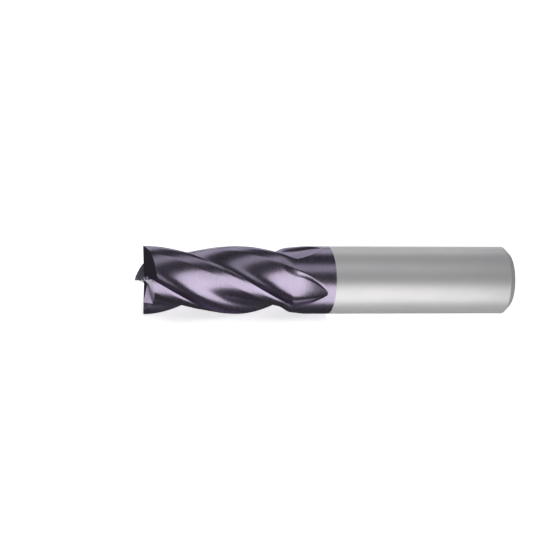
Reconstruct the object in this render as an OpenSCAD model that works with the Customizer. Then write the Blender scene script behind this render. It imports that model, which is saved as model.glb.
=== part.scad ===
// Four-flute square end mill, solid carbide, right-hand cut and right-hand helix.
// The tool lies along X: the cutting end points to -X and the shank to +X, with +Z up.
// The origin is the centre of the shank's rear face.
// A station s is the distance from the end cutting edges back towards the shank.

/* [Overall] */
// Length from the end cutting edges to the rear face
overall_l = 90; // [70:1:150]
// Diameter over the cutting edges
cut_d = 16; // [12:0.5:20]
// Diameter of the ground shank
shank_d = 16; // [12:0.5:20]
// Chamfer on the rear edge of the shank
rear_chamfer = 1.5; // [0.4:0.1:2]

/* [Flutes] */
// Length over which the flutes keep their full depth
flute_l = 35; // [20:1:50]
// Length over which each flute rises out to the full diameter
runout_l = 8; // [4:0.5:12]
// Coated length behind the flutes that is still a plain cylinder
coated_front_l = 2; // [1:0.5:10]
// Helix angle of the cutting edges at the outside
helix_angle = 29.3; // [20:0.1:45]
// Diameter of the web that the flute floors touch
web_d = 10.4; // [8:0.1:11.4]
// Place of the flute floor, in degrees behind the cutting edge
floor_at = 67; // [60:1:72]
// Place where the run-out of a flute comes to its point, in degrees behind the edge
runout_at = 62; // [56:1:68]
// Positive radial rake of the cutting face
rake_angle = 8; // [0:1:14]

/* [Teeth] */
// Angle that the narrow primary land covers
land_arc = 5; // [3:0.5:8]
// Relief angle of the primary land
land_relief = 6; // [3:1:10]
// Angle from the cutting edge to the heel
heel_at = 21; // [16:0.5:28]
// Radius at the heel as a share of the cutting radius
heel_ratio = 0.90; // [0.84:0.01:0.94]
// Length over which the relief blends out before the flutes end
relief_blend_l = 3; // [1:0.5:6]

/* [End teeth] */
// Dish of the end cutting edges towards the centre
dish_angle = 1.5; // [0:0.5:4]
// Primary relief angle behind the end cutting edges
end_primary = 12; // [5:1:15]
// Secondary relief angle behind the end cutting edges
end_secondary = 24; // [15:1:30]
// Width of the primary end relief
end_land_w = 1; // [0.6:0.1:2]
// Depth of the gash ahead of each end tooth, where it meets the flute
gash_depth = 2.2; // [1:0.1:2.6]
// Distance from an end cutting edge to the bottom of the gash ahead of it
gash_bottom = 0.9; // [0.5:0.1:1.2]
// Distance over which the gash rises again beyond its bottom
gash_spread = 2.6; // [2:0.1:4]

/* [Clocking] */
// Turn of the first tooth about the axis, from +Z towards -Y
clocking = -22; // [-90:1:90]

/* [Hidden] */

teeth = 4;
pitch = 360 / teeth;
cut_r = cut_d / 2;
web_r = web_d / 2;
heel_r = cut_r * heel_ratio;
land_r = cut_r - cut_r * PI * land_arc / 180 * tan(land_relief);
lead = PI * cut_d / tan(helix_angle);
fluted_l = flute_l + runout_l;
coated_l = fluted_l + coated_front_l;
bare_l = overall_l - coated_l;

coating = [0.30, 0.27, 0.36];
web_coating = [0.24, 0.22, 0.30];
carbide = [0.74, 0.74, 0.76];

// Steps along the tool and around one flute
helix_steps = 26;
runout_steps = 10;
half_steps = 7;
first_ring = 3.2;
heel_root = 4;
rake_root = 9;
narrowest = 0.15;
round_fn = 96;

// Pulls of the flute curve, as shares of the cutting radius, and the lean of its heel side
heel_pull = 0.30;
floor_pull = 0.12;
curl_pull = 0.20;
rake_pull = 0.20;
heel_lean = 62;

function clamp01(v) = min(1, max(0, v));
function mix(a, b, t) = a + (b - a) * t;
function polar(psi, r) = [r * cos(psi), r * sin(psi)];
function to_polar(p) = [atan2(p.y, p.x), norm(p)];

// Cubic from p to q that leaves along u and arrives along v
function curve(p, u, v, q, t) =
  pow(1 - t, 3) * p
  + 3 * pow(1 - t, 2) * t * (p + u)
  + 3 * (1 - t) * pow(t, 2) * (q - v)
  + pow(t, 3) * q;

// One flute in section, from the heel, over the floor on the web, to the next cutting edge.
// Each point is [degrees behind the cutting edge, radius].
heel_point = polar(heel_at, heel_r);
floor_point = polar(floor_at, web_r);
edge_point = polar(pitch, cut_r);
heel_dir = -cos(heel_lean) * polar(heel_at, 1) + sin(heel_lean) * polar(heel_at + 90, 1);
floor_dir = polar(floor_at + 90, 1);
rake_dir = polar(pitch - rake_angle, 1);

function heel_side(t) =
  curve(heel_point, heel_dir * heel_pull * cut_r, floor_dir * floor_pull * cut_r, floor_point, t);
function rake_side(t) =
  curve(floor_point, floor_dir * curl_pull * cut_r, rake_dir * rake_pull * cut_r, edge_point, t);

flute = [
  for (i = [0 : half_steps]) to_polar(heel_side(i / half_steps)),
  for (i = [1 : half_steps]) to_polar(rake_side(i / half_steps))
];
last = len(flute) - 1;

// The land and relief between a cutting edge and its heel
back = [[land_arc, land_r], [mix(land_arc, heel_at, 0.5), mix(land_r, heel_r, 0.5)]];

function ahead(points) = [for (p = points) [p[0] - pitch, p[1]]];
function part_of(points, from, to) = [for (i = [from : to]) points[i]];

tooth_section = concat(
  ahead(part_of(flute, rake_root, last)),
  back,
  part_of(flute, 0, heel_root)
);
web_section = part_of(flute, heel_root, rake_root);
whole_section = concat(back, flute);

// Setback of an end face behind the cutting edge plane. The relief falls away behind each
// edge, and a V-shaped gash lies just ahead of the next edge, deeper further out.
function relief_drop(d) =
  min(d, end_land_w) * tan(end_primary) + max(d - end_land_w, 0) * tan(end_secondary);
function gash_drop(ahead, r) =
  gash_depth * min(r / web_r, 1)
  * (ahead < gash_bottom ? ahead / gash_bottom : 1 - (ahead - gash_bottom) / gash_spread);
function end_drop(p) =
  let (behind = p[0] < 0 ? 0 : p[1] * sin(p[0]))
  let (ahead = p[0] < 0 ? -p[1] * sin(p[0]) : p[0] > heel_at ? max(0, p[1] * cos(p[0])) : cut_r)
  (cut_r - p[1]) * tan(dish_angle) + max(relief_drop(behind), gash_drop(ahead, p[1]));

// Share of the flute that is left at station s, and share of the relief that has blended out
function flute_left(s) = 1 - pow(clamp01((s - flute_l) / runout_l), 1.6);
function relief_gone(s) = clamp01((s - flute_l + relief_blend_l) / relief_blend_l);

// A section point at station s. Past the full-depth flutes the helix stops,
// and the flute shrinks towards a point on the outside.
function section_at(p, s) =
  let (left = flute_left(s))
  let (width = mix(narrowest, 1, left))
  let (on_back = p[0] >= 0 && p[0] <= heel_at)
  let (r = on_back ? mix(p[1], cut_r, relief_gone(s)) : p[1])
  let (psi = p[0] < 0 ? p[0] + pitch : p[0])
  let (low = mix(runout_at, pitch, width) - pitch)
  let (high = mix(runout_at, heel_at, width))
  on_back
    ? [mix(low, high, p[0] / heel_at), mix(cut_r, r, left)]
    : [mix(runout_at, psi, width) - psi + p[0], mix(cut_r, p[1], left)];

function place(p, s, k) =
  let (a = clocking + k * pitch + 360 * min(s, flute_l) / lead + p[0])
  [s - overall_l, -p[1] * sin(a), p[1] * cos(a)];

function ring(section, s, k) = [for (p = section) place(section_at(p, s), s, k)];
function end_ring(section, k) = [for (p = section) place(p, end_drop(p), k)];

stations = [for (i = [0 : helix_steps]) mix(first_ring, flute_l, i / helix_steps)];
runout_stations = [for (i = [0 : runout_steps]) flute_l + runout_l * i / runout_steps];

// Side walls between rings of n points, wound so that the faces point outwards.
// The web leans its diagonals the other way, so that they match the teeth's roots.
function walls(n, rings, lean_back = false) = [
  for (j = [0 : rings - 2], i = [0 : n - 1])
    let (a = j * n + i)
    let (b = j * n + (i + 1) % n)
    each lean_back ? [[a, a + n, b + n], [a, b + n, b]] : [[a, a + n, b], [b, a + n, b + n]]
];

// An end face that is zipped up between the two sides of its outline
function zipped(n, start) = [
  for (i = [0 : floor(n / 2) - 2])
    let (a = start + i)
    let (b = start + n - 1 - i)
    each [[a, a + 1, b], [a + 1, b - 1, b]]
];
function zip_tip(n, start) =
  n % 2 == 0 ? [] : [[start + floor(n / 2) - 1, start + floor(n / 2), start + floor(n / 2) + 1]];
function flipped(faces) = [for (f = faces) [f[0], f[2], f[1]]];
function fan(n, start, centre) = [for (i = [0 : n - 1]) [start + i, start + (i + 1) % n, centre]];

module tooth(k) {
  n = len(tooth_section);
  points = [
    each end_ring(tooth_section, k),
    for (s = stations) each ring(tooth_section, s, k)
  ];
  top = len(points) - n;
  color(coating)
    polyhedron(points, concat(
      walls(n, len(stations) + 1),
      zipped(n, 0), zip_tip(n, 0),
      flipped(zipped(n, top)), flipped(zip_tip(n, top))
    ));
}

module web() {
  all_teeth = [0 : teeth - 1];
  n = len(web_section) * teeth;
  points = [
    for (k = all_teeth) each end_ring(web_section, k),
    for (s = stations, k = all_teeth) each ring(web_section, s, k),
    [cut_r * tan(dish_angle) - overall_l, 0, 0],
    [flute_l - overall_l, 0, 0]
  ];
  front = len(points) - 2;
  color(web_coating)
    polyhedron(points, concat(
      walls(n, len(stations) + 1, true),
      fan(n, 0, front),
      flipped(fan(n, front - n, front + 1))
    ));
}

module flute_runout() {
  all_teeth = [0 : teeth - 1];
  n = len(whole_section) * teeth;
  points = [
    for (s = runout_stations, k = all_teeth) each ring(whole_section, s, k),
    [flute_l - overall_l, 0, 0],
    [fluted_l - overall_l, 0, 0]
  ];
  front = len(points) - 2;
  color(coating)
    polyhedron(points, concat(
      walls(n, len(runout_stations)),
      fan(n, 0, front),
      flipped(fan(n, front - n, front + 1))
    ));
}

module shank_front() {
  color(coating)
    translate([fluted_l - overall_l, 0, 0])
    rotate([0, 90, 0])
    cylinder(h = coated_front_l, r = cut_r, $fn = round_fn);
}

module shank() {
  shank_r = shank_d / 2;
  color(carbide)
    rotate([0, 90, 0])
    rotate_extrude($fn = round_fn)
    polygon([
      [0, -bare_l],
      [shank_r, -bare_l],
      [shank_r, -rear_chamfer],
      [shank_r - rear_chamfer, 0],
      [0, 0]
    ]);
}

shank();
shank_front();
flute_runout();
web();
tooth(0);  // tooth_1
tooth(1);  // tooth_2
tooth(2);  // tooth_3
tooth(3);  // tooth_4
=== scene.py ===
import math

import bmesh
import bpy
from mathutils import Matrix, Vector

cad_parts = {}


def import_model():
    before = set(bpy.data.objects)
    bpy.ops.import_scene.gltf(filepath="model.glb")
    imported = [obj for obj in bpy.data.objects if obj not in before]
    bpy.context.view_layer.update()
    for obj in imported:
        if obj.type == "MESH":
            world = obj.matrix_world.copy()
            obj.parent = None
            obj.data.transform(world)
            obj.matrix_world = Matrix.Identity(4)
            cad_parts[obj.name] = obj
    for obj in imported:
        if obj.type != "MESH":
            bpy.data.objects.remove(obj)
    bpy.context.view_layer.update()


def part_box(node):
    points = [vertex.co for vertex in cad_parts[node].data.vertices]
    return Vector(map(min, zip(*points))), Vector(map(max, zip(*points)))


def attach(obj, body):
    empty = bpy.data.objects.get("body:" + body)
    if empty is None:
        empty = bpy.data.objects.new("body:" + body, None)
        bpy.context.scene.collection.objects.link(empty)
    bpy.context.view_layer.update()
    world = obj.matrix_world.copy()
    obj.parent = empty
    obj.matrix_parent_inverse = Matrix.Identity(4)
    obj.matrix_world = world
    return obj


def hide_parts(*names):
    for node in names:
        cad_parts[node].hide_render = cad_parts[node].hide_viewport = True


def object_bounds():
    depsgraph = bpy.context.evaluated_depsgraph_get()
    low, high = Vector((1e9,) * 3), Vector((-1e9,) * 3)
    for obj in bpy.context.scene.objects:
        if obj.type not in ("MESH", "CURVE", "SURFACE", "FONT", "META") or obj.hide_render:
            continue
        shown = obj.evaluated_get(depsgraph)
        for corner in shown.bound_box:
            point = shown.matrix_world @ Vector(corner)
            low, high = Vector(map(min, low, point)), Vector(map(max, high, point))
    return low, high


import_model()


# ---------------------------------------------------------------- sizes
# Lengths are in metres and angles in degrees. A station is a distance back from the tip.
MM = 0.001
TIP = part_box("tooth_1")[0].x
FLUTES_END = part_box("tooth_1")[1].x - TIP
RUNOUT_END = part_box("flute_runout")[1].x - TIP
MASK_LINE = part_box("shank_front")[1].x - TIP
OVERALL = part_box("shank")[1].x - TIP
CUT_R = (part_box("shank_front")[1].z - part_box("shank_front")[0].z) / 2
SHANK_R = (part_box("shank")[1].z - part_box("shank")[0].z) / 2

# Teeth and helix
TEETH = 4
PITCH = 360 / TEETH
HELIX_ANGLE = 29.3
LEAD = 2 * math.pi * CUT_R / math.tan(math.radians(HELIX_ANGLE))
HELIX_STOP = 1.2 * MM
CLOCKING = -22

# Section of a flute. Places are measured back from the cutting edge, and pulls are shares of
# the cutting radius.
WEB_R = 5.2 * MM
FLOOR_AT = 67
RAKE_ANGLE = 8
LAND_ARC = 5
LAND_RELIEF = 6
HEEL_AT = 21
HEEL_R = 0.90 * CUT_R
HEEL_LEAN = 62
HEEL_PULL = 0.30
FLOOR_PULL = 0.12
CURL_PULL = 0.20
RAKE_PULL = 0.20

# Where a tooth meets the web. A flute is two curves, and these count curves on from the heel.
HEEL_ROOT = 0.55
RAKE_ROOT = 1.30

# Run-out of the flutes. The relief blends out over a length, and into the flute over an angle.
# A flute keeps a small share of its width at the very end.
RUNOUT_AT = 62
RUNOUT_BEND = 1.6
RELIEF_BLEND = 3 * MM
HEEL_BLEND = 12
NARROWEST = 0.10

# End teeth
DISH_ANGLE = 1.5
END_PRIMARY = 12
END_SECONDARY = 24
END_LAND_W = 1.0 * MM
GASH_DEPTH = 2.2 * MM
GASH_BOTTOM = 0.9 * MM
GASH_SPREAD = 2.6 * MM
TIP_ZONE = 3.2 * MM

# Rear of the shank
REAR_CHAMFER = 1.5 * MM
BROKEN_EDGE = 0.12 * MM

# How finely the ground surfaces are divided
STEP = 0.28 * MM
CURVE_POINTS = 22
LAND_POINTS = 3
RELIEF_POINTS = 7
SPIN_STEPS = 256

# Slack in degrees for points that lie on a border
EDGE_SLACK = 0.01
HEEL_SLACK = 0.0001
SPLIT_SLACK = 0.02

# Distances that count as touching, and as being on the axis
MERGE = 1e-7
NEAR_AXIS = CUT_R / 100

# Finishes: the colours, and the stretch of each pattern along X, Y and Z
SHARP_CREASE = 28
CARBIDE = (0.76, 0.76, 0.78)
CARBIDE_DARK = (0.73, 0.73, 0.75)
CARBIDE_LIGHT = (0.79, 0.785, 0.795)
CARBIDE_RINGS = (9000, 60, 60)
CARBIDE_CLOUD = (60, 160, 160)
FILM_DARK = (0.375, 0.325, 0.46)
FILM_LIGHT = (0.455, 0.40, 0.55)
FILM_LINES = (2600, 500, 500)
FILM_CLOUD = (90, 140, 140)
BUMP_DISTANCE = 0.02 * MM

# Stage and camera
WHITE = (1, 1, 1, 1)
FLOOR_SIZE = 3.0
FLOOR_COLOUR = (0.93, 0.93, 0.93, 1)
FLOOR_GLOW = 0.7
LAMP_HEIGHT = 1.6
STRIP_DISTANCE = 0.7
SENSOR_WIDTH = 36
CAMERA_AZIMUTH = -17.4
CAMERA_ELEVATION = 20
CAMERA_DISTANCE = 1.1
PICTURE_WIDTH = 0.1323
AIM = Vector((TIP + 0.0334, 0, 0))


# ---------------------------------------------------------------- the flute in section
def polar(degrees, radius):
    """A section point at an angle behind the cutting edge."""
    a = math.radians(degrees)
    return Vector((radius * math.cos(a), radius * math.sin(a)))


def cubic(p, leave, arrive, q, t):
    """Cubic from p to q that leaves along one vector and arrives along another."""
    u = 1 - t
    return u**3 * p + 3 * u * u * t * (p + leave) + 3 * u * t * t * (q - arrive) + t**3 * q


def flute_curve():
    """Heel, floor on the web and up the rake face, as (degrees behind the edge, radius)."""
    heel = polar(HEEL_AT, HEEL_R)
    floor = polar(FLOOR_AT, WEB_R)
    edge = polar(PITCH, CUT_R)
    lean = math.radians(HEEL_LEAN)
    leave = -math.cos(lean) * polar(HEEL_AT, 1) + math.sin(lean) * polar(HEEL_AT + 90, 1)
    leave = leave * HEEL_PULL * CUT_R
    along = polar(FLOOR_AT + 90, CUT_R)
    rake = polar(PITCH - RAKE_ANGLE, CUT_R)
    n = CURVE_POINTS
    down = [cubic(heel, leave, along * FLOOR_PULL, floor, i / n) for i in range(n + 1)]
    up = [cubic(floor, along * CURL_PULL, rake * RAKE_PULL, edge, i / n) for i in range(1, n + 1)]
    return [(math.degrees(math.atan2(p.y, p.x)), p.length) for p in down + up]


def back_curve():
    """The primary land and the relief behind it, up to just before the heel."""
    land_end = CUT_R - CUT_R * math.radians(LAND_ARC) * math.tan(math.radians(LAND_RELIEF))
    points = [(LAND_ARC * i / LAND_POINTS, CUT_R + (land_end - CUT_R) * i / LAND_POINTS)
              for i in range(1, LAND_POINTS + 1)]
    for i in range(1, RELIEF_POINTS):
        t = i / RELIEF_POINTS
        points.append((LAND_ARC + (HEEL_AT - LAND_ARC) * t, land_end + (HEEL_R - land_end) * t))
    return points


# ---------------------------------------------------------------- how a section changes
def clamp01(v):
    """Holds a value between 0 and 1."""
    return min(1.0, max(0.0, v))


def twist(s):
    """Turn of the helix at station s. It dies out just past the full-depth flutes."""
    past = clamp01((s - FLUTES_END) / HELIX_STOP)
    helical = min(s, FLUTES_END) + HELIX_STOP * (past - past * past / 2)
    return 360 * helical / LEAD


def end_drop(psi, r):
    """Setback of the end teeth: relief behind each edge, and the gash ahead of the next."""
    across = r * math.sin(math.radians(psi))
    behind = max(across, 0)
    relief = (min(behind, END_LAND_W) * math.tan(math.radians(END_PRIMARY))
              + max(behind - END_LAND_W, 0) * math.tan(math.radians(END_SECONDARY)))
    ahead = CUT_R
    if psi < 0:
        ahead = -across
    elif psi > HEEL_AT:
        ahead = r * math.cos(math.radians(psi))
    ahead = max(ahead, 0)
    share = 1 - (ahead - GASH_BOTTOM) / GASH_SPREAD
    if ahead < GASH_BOTTOM:
        share = ahead / GASH_BOTTOM
    gash = GASH_DEPTH * min(r / WEB_R, 1) * share
    return (CUT_R - r) * math.tan(math.radians(DISH_ANGLE)) + max(relief, gash)


def blend(a, b, t):
    """Mixes a and b, where t runs from 0 to 1."""
    return a + (b - a) * t


def smooth(v):
    """Eases from 0 to 1."""
    t = clamp01(v)
    return t * t * (3 - 2 * t)


def changed(psi, r, s):
    """Where a section point goes at station s, as (degrees, radius, station)."""
    if s < TIP_ZONE:
        return psi, r, s + end_drop(psi, r) * (1 - s / TIP_ZONE)
    left = 1 - clamp01((s - FLUTES_END) / (RUNOUT_END - FLUTES_END)) ** RUNOUT_BEND
    width = blend(NARROWEST, 1, left)
    gone = smooth((s - FLUTES_END + RELIEF_BLEND) / RELIEF_BLEND)
    if -EDGE_SLACK <= psi <= HEEL_AT + HEEL_SLACK:
        low = blend(RUNOUT_AT, PITCH, width) - PITCH
        high = blend(RUNOUT_AT, HEEL_AT, width)
        r = blend(r, CUT_R, gone)
        return blend(low, high, psi / HEEL_AT), blend(CUT_R, r, left), s
    if psi > HEEL_AT:
        gone *= 1 - smooth((psi - HEEL_AT) / HEEL_BLEND)
        r = blend(r, CUT_R, gone)
    place = psi + PITCH if psi < 0 else psi
    return blend(RUNOUT_AT, place, width) - place + psi, blend(CUT_R, r, left), s


# ---------------------------------------------------------------- making pieces
def in_scene(name, data):
    """Puts a mesh, lamp or camera into the scene."""
    thing = bpy.data.objects.new(name, data)
    bpy.context.scene.collection.objects.link(thing)
    return thing


def finish_piece(name, bm, material, nodes):
    """Turns a bmesh into a piece that rides on the tool and stands for its CAD nodes."""
    mesh = bpy.data.meshes.new(name)
    bm.to_mesh(mesh)
    bm.free()
    piece = in_scene(name, mesh)
    mesh.materials.append(material)
    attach(piece, "root")
    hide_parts(*nodes)
    return piece


def shade(bm):
    """Smooth faces, with creases kept where the ground facets meet."""
    limit = math.radians(SHARP_CREASE)
    for face in bm.faces:
        face.smooth = True
    for edge in bm.edges:
        if len(edge.link_faces) == 2 and edge.calc_face_angle(0) > limit:
            edge.smooth = False


def section_place(co, k):
    """The tooth, the degrees behind its cutting edge and the radius of a point."""
    psi = math.degrees(math.atan2(-co.y, co.z)) - CLOCKING
    if k is None:
        k = int((psi + SPLIT_SLACK) % 360 // PITCH)
    return k, (psi - k * PITCH + PITCH / 2) % 360 - PITCH / 2, math.hypot(co.y, co.z)


def cut_end(bm, cap, teeth):
    """Splits a flat end along each cutting edge, its gash and the end of its end land."""
    faces = [cap]
    for k in teeth:
        angle = math.radians(CLOCKING + k * PITCH)
        behind = Vector((0, -math.cos(angle), -math.sin(angle)))
        for distance in (-GASH_BOTTOM, 0, END_LAND_W):
            geom = set(faces)
            for face in faces:
                geom.update(face.edges, face.verts)
            cut = bmesh.ops.bisect_plane(bm, geom=list(geom), dist=MERGE,
                                         plane_co=behind * distance, plane_no=behind)
            faces = [g for g in cut["geom"] if isinstance(g, bmesh.types.BMFace)]
    bmesh.ops.triangulate(bm, faces=faces)


def fluted(name, section, k, material, nodes):
    """Extrudes a flat section along the tool, then grinds its helix, end and run-out into it.
    With k it is one tooth, and without it is the web that joins them."""
    bm = bmesh.new()
    verts = []
    for tooth, psi, r in section:
        angle = math.radians(CLOCKING + tooth * PITCH + psi)
        verts.append(bm.verts.new((TIP, -r * math.sin(angle), r * math.cos(angle))))
    face = bm.faces.new(verts)
    geom = [face] + list(face.edges) + list(face.verts)
    steps = round(RUNOUT_END / STEP)
    bmesh.ops.spin(bm, geom=geom, cent=(0, 0, 0), axis=(1, 0, 0), angle=0.0,
                   dvec=(RUNOUT_END / steps, 0, 0), steps=steps, use_duplicate=False)
    caps = [f for f in bm.faces if len(f.verts) == len(verts)]
    cap = min(caps, key=lambda f: f.calc_center_median().x)
    cut_end(bm, cap, range(TEETH) if k is None else [k])
    for v in bm.verts:
        tooth, psi, r = section_place(v.co, k)
        if r < NEAR_AXIS:
            v.co.x += CUT_R * math.tan(math.radians(DISH_ANGLE))
            continue
        psi, r, s = changed(psi, r, v.co.x - TIP)
        a = math.radians(CLOCKING + tooth * PITCH + twist(s) + psi)
        v.co = (TIP + s, -r * math.sin(a), r * math.cos(a))
    bmesh.ops.recalc_face_normals(bm, faces=bm.faces[:])
    shade(bm)
    return finish_piece(name, bm, material, nodes)


def turned(name, outline, material, nodes):
    """A turned piece: an outline of (station, radius) spun about the tool's axis."""
    bm = bmesh.new()
    verts = [bm.verts.new((TIP + s, 0, r)) for s, r in outline]
    edges = [bm.edges.new(pair) for pair in zip(verts, verts[1:])]
    bmesh.ops.spin(bm, geom=verts + edges, cent=(0, 0, 0), axis=(1, 0, 0),
                   angle=2 * math.pi, steps=SPIN_STEPS, use_merge=True, use_duplicate=False)
    bmesh.ops.remove_doubles(bm, verts=bm.verts[:], dist=MERGE)
    bmesh.ops.recalc_face_normals(bm, faces=bm.faces[:])
    shade(bm)
    return finish_piece(name, bm, material, nodes)


# ---------------------------------------------------------------- finishes
def finish_nodes(name, colour, metallic, roughness):
    """A metal finish with its shader, and the object's coordinates to build on."""
    material = bpy.data.materials.new(name)
    material.use_nodes = True
    tree = material.node_tree
    shader = tree.nodes["Principled BSDF"]
    shader.inputs["Base Color"].default_value = (*colour, 1)
    shader.inputs["Metallic"].default_value = metallic
    shader.inputs["Roughness"].default_value = roughness
    coords = tree.nodes.new("ShaderNodeTexCoord")
    return material, tree, shader, coords


def stretched_noise(tree, coords, scale, detail=4):
    """Noise stretched by a different amount along each axis."""
    mapping = tree.nodes.new("ShaderNodeMapping")
    mapping.inputs["Scale"].default_value = scale
    noise = tree.nodes.new("ShaderNodeTexNoise")
    noise.inputs["Scale"].default_value = 1.0
    noise.inputs["Detail"].default_value = detail
    tree.links.new(coords.outputs["Object"], mapping.inputs["Vector"])
    tree.links.new(mapping.outputs["Vector"], noise.inputs["Vector"])
    return noise


def ramp(tree, source, stops):
    """A colour ramp from a list of (position, colour)."""
    node = tree.nodes.new("ShaderNodeValToRGB")
    elements = node.color_ramp.elements
    while len(elements) < len(stops):
        elements.new(0.5)
    for element, (position, colour) in zip(elements, stops):
        element.position = position
        element.color = (*colour, 1)
    tree.links.new(source, node.inputs["Fac"])
    return node


def spread(tree, source, low, high):
    """Maps a 0 to 1 value to a range."""
    node = tree.nodes.new("ShaderNodeMapRange")
    node.inputs["To Min"].default_value = low
    node.inputs["To Max"].default_value = high
    tree.links.new(source, node.inputs["Value"])
    return node


def patterned(tree, shader, grain, tint, low, high, strength):
    """Puts a tint on the shader, and a grain that changes its roughness and lifts it a little."""
    rough = spread(tree, grain.outputs["Fac"], low, high)
    bump = tree.nodes.new("ShaderNodeBump")
    bump.inputs["Strength"].default_value = strength
    bump.inputs["Distance"].default_value = BUMP_DISTANCE
    tree.links.new(grain.outputs["Fac"], bump.inputs["Height"])
    tree.links.new(tint.outputs["Color"], shader.inputs["Base Color"])
    tree.links.new(rough.outputs["Result"], shader.inputs["Roughness"])
    tree.links.new(bump.outputs["Normal"], shader.inputs["Normal"])


def ground_carbide():
    """Bare ground carbide: pale satin silver with fine rings left by the grinding wheel."""
    material, tree, shader, coords = finish_nodes("ground_carbide", CARBIDE, 0.55, 0.42)
    rings = stretched_noise(tree, coords, CARBIDE_RINGS, 5)
    cloud = stretched_noise(tree, coords, CARBIDE_CLOUD, 3)
    tint = ramp(tree, cloud.outputs["Fac"], [(0.3, CARBIDE_DARK), (0.7, CARBIDE_LIGHT)])
    patterned(tree, shader, rings, tint, 0.34, 0.50, 0.12)
    return material


def violet_film():
    """Violet-black PVD film over ground carbide, with a faint cloud of colour."""
    material, tree, shader, coords = finish_nodes("violet_film", FILM_DARK, 1.0, 0.22)
    lines = stretched_noise(tree, coords, FILM_LINES)
    cloud = stretched_noise(tree, coords, FILM_CLOUD)
    tint = ramp(tree, cloud.outputs["Fac"], [(0.32, FILM_DARK), (0.68, FILM_LIGHT)])
    patterned(tree, shader, lines, tint, 0.22, 0.36, 0.05)
    return material


# ---------------------------------------------------------------- the tool
def build_tool():
    """Shank, coated neck, web and the four teeth. The web's outline is the flute floors, from
    the heel root of one tooth to the rake root of the next."""
    carbide = ground_carbide()
    film = violet_film()
    flute = flute_curve()
    first = round(CURVE_POINTS * HEEL_ROOT)
    stop = round(CURVE_POINTS * RAKE_ROOT)
    web = [(k, psi, r) for k in range(TEETH) for psi, r in flute[first:stop + 1]]
    fluted("ground_web", web, None, film, ["web", "flute_runout"])
    rake_face = [(psi - PITCH, r) for psi, r in flute[stop:]]
    heel_side = flute[:first + 1]
    outline = rake_face + back_curve() + heel_side
    for k in range(TEETH):
        section = [(k, psi, r) for psi, r in outline]
        fluted(f"ground_tooth_{k + 1}", section, k, film, [f"tooth_{k + 1}"])
    neck = [(RUNOUT_END, 0), (RUNOUT_END, CUT_R), (MASK_LINE, CUT_R), (MASK_LINE, 0)]
    turned("coated_neck", neck, film, ["shank_front"])
    half = BROKEN_EDGE / 2
    shank = [
        (MASK_LINE, 0),
        (MASK_LINE, SHANK_R),
        (OVERALL - REAR_CHAMFER - BROKEN_EDGE, SHANK_R),
        (OVERALL - REAR_CHAMFER + half, SHANK_R - half),
        (OVERALL - half, SHANK_R - REAR_CHAMFER + half),
        (OVERALL, SHANK_R - REAR_CHAMFER - half),
        (OVERALL, 0),
    ]
    turned("ground_shank", shank, carbide, ["shank"])


# ---------------------------------------------------------------- stage, light and camera
def plain_floor():
    """A wide pale floor that the tool lies on."""
    bm = bmesh.new()
    bmesh.ops.create_grid(bm, x_segments=2, y_segments=2, size=FLOOR_SIZE)
    bmesh.ops.translate(bm, verts=bm.verts[:], vec=(0, 0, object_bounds()[0].z))
    mesh = bpy.data.meshes.new("floor")
    bm.to_mesh(mesh)
    bm.free()
    floor = in_scene("floor", mesh)
    material = bpy.data.materials.new("pale_floor")
    material.use_nodes = True
    shader = material.node_tree.nodes["Principled BSDF"]
    shader.inputs["Base Color"].default_value = FLOOR_COLOUR
    shader.inputs["Roughness"].default_value = 0.9
    shader.inputs["Emission Color"].default_value = WHITE
    shader.inputs["Emission Strength"].default_value = FLOOR_GLOW
    mesh.materials.append(material)
    floor.visible_glossy = False
    floor.visible_shadow = False


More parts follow.
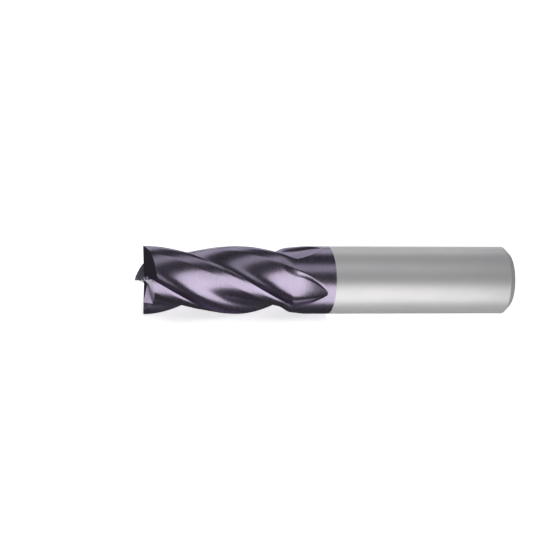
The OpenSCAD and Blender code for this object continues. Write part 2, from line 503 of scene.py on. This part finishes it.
def strip(name, degrees, width, radiance, length, shift, colour=(1, 1, 1)):
    """A long softbox beside the tool that only its reflections see. Its place is given as an
    angle about the tool's axis, from the near side up over the top, and its width as an angle."""
    angle = math.radians(degrees)
    away = Vector((0, -math.cos(angle), math.sin(angle)))
    light = bpy.data.lights.new(name, "AREA")
    light.shape = "RECTANGLE"
    light.size = length
    light.size_y = 2 * STRIP_DISTANCE * math.tan(math.radians(width / 2))
    light.energy = radiance * math.pi * light.size * light.size_y
    light.color = colour
    lamp = in_scene(name, light)
    along = Vector((1, 0, 0))
    turn = Matrix((along, away.cross(along), away)).transposed().to_4x4()
    lamp.matrix_world = Matrix.Translation(away * STRIP_DISTANCE + along * shift) @ turn
    lamp.visible_camera = False
    lamp.visible_diffuse = False


def floor_light(radiance):
    """A wide soft light overhead for an even pale ground. No reflection shows it."""
    light = bpy.data.lights.new("floor_light", "AREA")
    light.size = FLOOR_SIZE
    light.energy = radiance * math.pi * light.size**2
    lamp = in_scene("floor_light", light)
    lamp.location = (0, 0, LAMP_HEIGHT)
    lamp.visible_camera = False
    lamp.visible_glossy = False


def world(strength):
    """Even pale surroundings."""
    surroundings = bpy.data.worlds.new("studio")
    surroundings.use_nodes = True
    background = surroundings.node_tree.nodes["Background"]
    background.inputs["Color"].default_value = WHITE
    background.inputs["Strength"].default_value = strength
    bpy.context.scene.world = surroundings


def camera(azimuth, elevation, distance, aim, width):
    """A long lens that keeps the tool's axis level in the picture."""
    a, e = math.radians(azimuth), math.radians(elevation)
    back = Vector((math.sin(a) * math.cos(e), -math.cos(a) * math.cos(e), math.sin(e)))
    axis = Vector((1, 0, 0))
    right = (axis - axis.dot(back) * back).normalized()
    up = back.cross(right)
    data = bpy.data.cameras.new("camera")
    data.sensor_width = SENSOR_WIDTH
    data.lens = SENSOR_WIDTH * distance / width
    data.clip_start = 0.01
    data.clip_end = 20
    eye = in_scene("camera", data)
    turn = Matrix((right, up, back)).transposed().to_4x4()
    eye.matrix_world = Matrix.Translation(aim + back * distance) @ turn
    bpy.context.scene.camera = eye


build_tool()
plain_floor()
world(0.045)
floor_light(1.0)
strip("low_front_strip", -31, 68, 1.5, length=0.80, shift=0.13, colour=(1, 0.98, 0.95))
strip("high_front_strip", 61, 26, 0.50, length=1.02, shift=-0.09)
strip("back_strip", 138, 34, 0.68, length=1.02, shift=-0.09)
strip("rear_strip", 174, 16, 1.0, length=1.20, shift=0)
strip("end_light", 206, 20, 1.3, length=0.26, shift=-0.15)
camera(CAMERA_AZIMUTH, CAMERA_ELEVATION, CAMERA_DISTANCE, AIM, PICTURE_WIDTH)
bpy.context.scene.view_settings.view_transform = "Standard"
